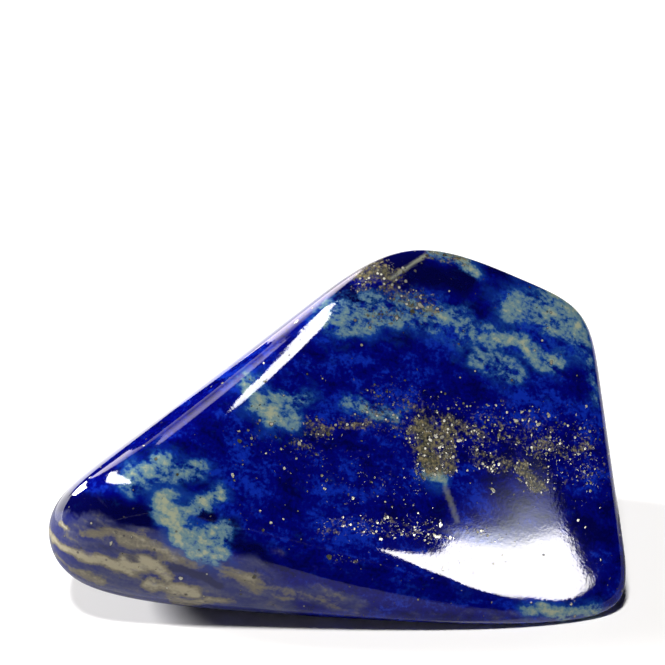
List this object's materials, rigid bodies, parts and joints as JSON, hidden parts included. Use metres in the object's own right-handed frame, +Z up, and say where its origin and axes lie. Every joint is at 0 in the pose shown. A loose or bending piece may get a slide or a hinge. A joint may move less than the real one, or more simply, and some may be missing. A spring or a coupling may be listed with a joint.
{
  "type": "polished lapis lazuli stone",
  "caption": "Polished lapis lazuli stone: a broad leaning front face, a sloping side down to a worn tip, and a small flat base to stand on.",
  "frame": {"origin": "on the surface that the stone stands on, under the middle of its footprint", "axes": "+Z up; +X along the stone's length from the pointed tip to the upright end; -Y is the broad front face"},
  "size_m": [0.0482, 0.0266, 0.028],
  "materials": {
    "lapis": "high polish, deep blue with pale calcite clouds and pyrite flecks"
  },
  "bodies": {
    "root": {"lapis_stone": "lapis"}
  },
  "joints": []
}
